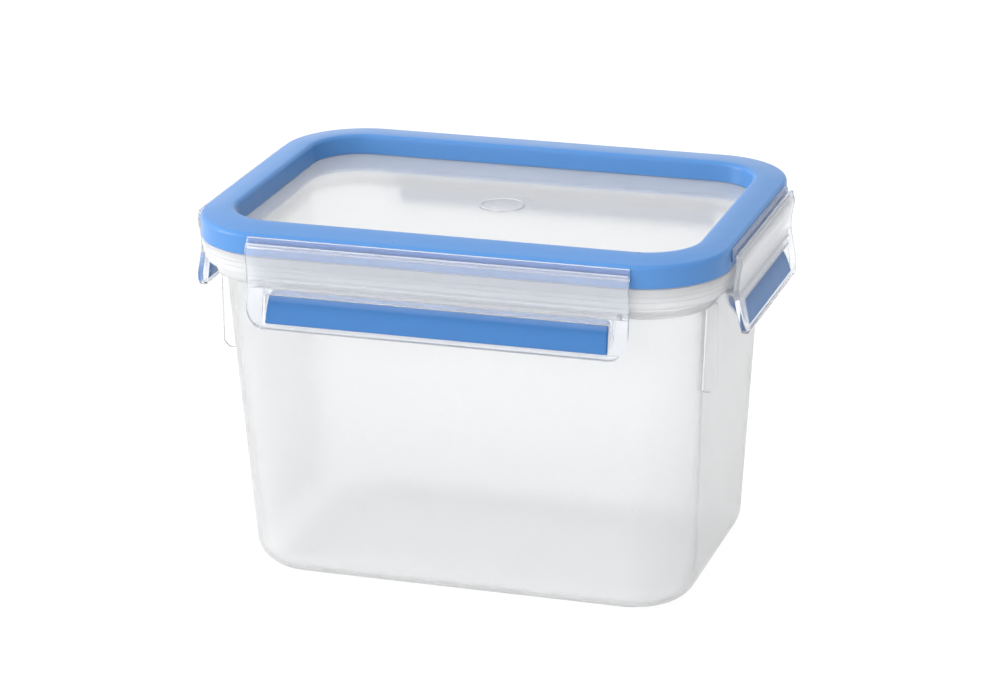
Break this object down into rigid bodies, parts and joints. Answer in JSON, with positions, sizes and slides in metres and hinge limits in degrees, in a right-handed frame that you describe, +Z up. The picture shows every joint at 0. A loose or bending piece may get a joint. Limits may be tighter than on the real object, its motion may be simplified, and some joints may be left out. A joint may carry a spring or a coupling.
{
  "type": "snap lid food container",
  "caption": "Tall translucent rectangular food box with a blue-rimmed lid, a recess for stacking, and hinged clips on every side that hook under its rim.",
  "frame": {"origin": "on the surface the box stands on, under the middle of the box", "axes": "+X along the long side, -Y to the front clip, +Z up"},
  "size_m": [0.2086, 0.1542, 0.1394],
  "materials": {
    "box_plastic": "translucent milky polypropylene, satin",
    "lid_plastic": "clear polypropylene, lightly frosted",
    "rim_plastic": "mid blue, soft satin",
    "seal_rubber": "pale soft sealing lip, matt",
    "grip_rubber": "blue soft-touch strip, matt"
  },
  "bodies": {
    "container": {"container_body": "box_plastic"},
    "lid": {"lid_panel": "lid_plastic", "lid_rim": "rim_plastic", "sealing_lip": "seal_rubber", "front_hinge_land": "lid_plastic", "right_hinge_land": "lid_plastic", "back_hinge_land": "lid_plastic", "left_hinge_land": "lid_plastic"},
    "front_clip": {"front_clip": "lid_plastic", "front_grip": "grip_rubber"},
    "right_clip": {"right_clip": "lid_plastic", "right_grip": "grip_rubber"},
    "back_clip": {"back_clip": "lid_plastic", "back_grip": "grip_rubber"},
    "left_clip": {"left_clip": "lid_plastic", "left_grip": "grip_rubber"}
  },
  "joints": [
    {"name": "lid_lift", "type": "slide", "parent": "container", "child": "lid", "axis": [0, 0, 1], "range_m": [0, 0.12]},
    {"name": "front_clip_hinge", "type": "hinge", "parent": "lid", "child": "front_clip", "pos_m": [0, -0.0738, 0.1349], "axis": [-1, 0, 0], "range_deg": [0, 110]},
    {"name": "right_clip_hinge", "type": "hinge", "parent": "lid", "child": "right_clip", "pos_m": [0.101, 0, 0.1349], "axis": [0, -1, 0], "range_deg": [0, 110]},
    {"name": "back_clip_hinge", "type": "hinge", "parent": "lid", "child": "back_clip", "pos_m": [0, 0.0738, 0.1349], "axis": [1, 0, 0], "range_deg": [0, 110]},
    {"name": "left_clip_hinge", "type": "hinge", "parent": "lid", "child": "left_clip", "pos_m": [-0.101, 0, 0.1349], "axis": [0, 1, 0], "range_deg": [0, 110]}
  ]
}
